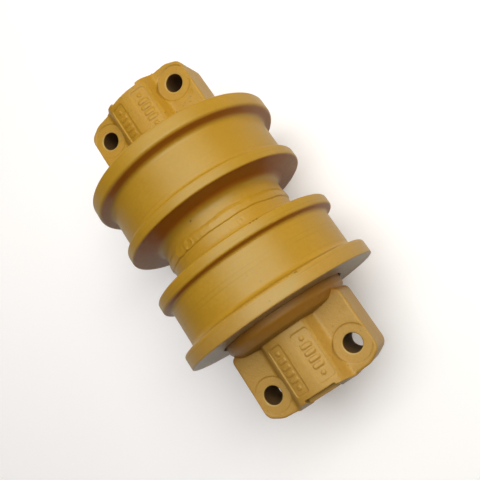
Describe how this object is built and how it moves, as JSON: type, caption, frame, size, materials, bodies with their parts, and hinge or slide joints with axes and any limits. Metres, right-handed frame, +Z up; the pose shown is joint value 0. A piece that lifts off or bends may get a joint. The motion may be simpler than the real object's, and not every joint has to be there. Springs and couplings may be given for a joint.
{
  "type": "track roller",
  "caption": "Double-flange crawler track roller: a welded two-tread shell turning on a sealed shaft, held by two bolted end collars with flat mounting faces.",
  "frame": {"origin": "centre of the roller on the shaft's axis, midway between the two ends", "axes": "+Y along the shaft to the far end, +Z up towards the side of the bolt heads (the mounting faces point along -Z), +X to the right seen from the near end"},
  "size_m": [0.2, 0.35, 0.2],
  "materials": {
    "shell_paint": "satin",
    "weld_paint": "satin",
    "collar_paint": "satin over sand-cast skin",
    "keeper_paint": "satin",
    "bushing_bronze": "machined",
    "seal_iron": "lapped",
    "seal_rubber": "matt",
    "shaft_steel": "ground",
    "pin_steel": "ground",
    "plug_steel": "phosphated"
  },
  "bodies": {
    "shaft_assembly": {"seal_ring_static_near": "seal_iron", "seal_ring_static_far": "seal_iron", "seal_toric_static_near": "seal_rubber", "seal_toric_static_far": "seal_rubber", "shaft": "shaft_steel", "collar_near": "collar_paint", "collar_far": "collar_paint", "shaft_o_ring_near": "seal_rubber", "shaft_o_ring_far": "seal_rubber", "lock_pin_near": "pin_steel", "lock_pin_far": "pin_steel", "lock_pin_plug_near": "plug_steel", "lock_pin_plug_far": "plug_steel", "end_keeper_near": "keeper_paint", "end_keeper_far": "keeper_paint", "oil_plug": "plug_steel"},
    "roller": {"weld_seam": "weld_paint", "shell_half_near": "shell_paint", "shell_half_far": "shell_paint", "bushing_near": "bushing_bronze", "bushing_far": "bushing_bronze", "seal_ring_rotating_near": "seal_iron", "seal_ring_rotating_far": "seal_iron", "seal_toric_rotating_near": "seal_rubber", "seal_toric_rotating_far": "seal_rubber"}
  },
  "joints": [
    {"name": "roller_spin", "type": "hinge", "parent": "shaft_assembly", "child": "roller", "pos_m": [0, 0, 0], "axis": [0, 1, 0], "continuous": true}
  ]
}
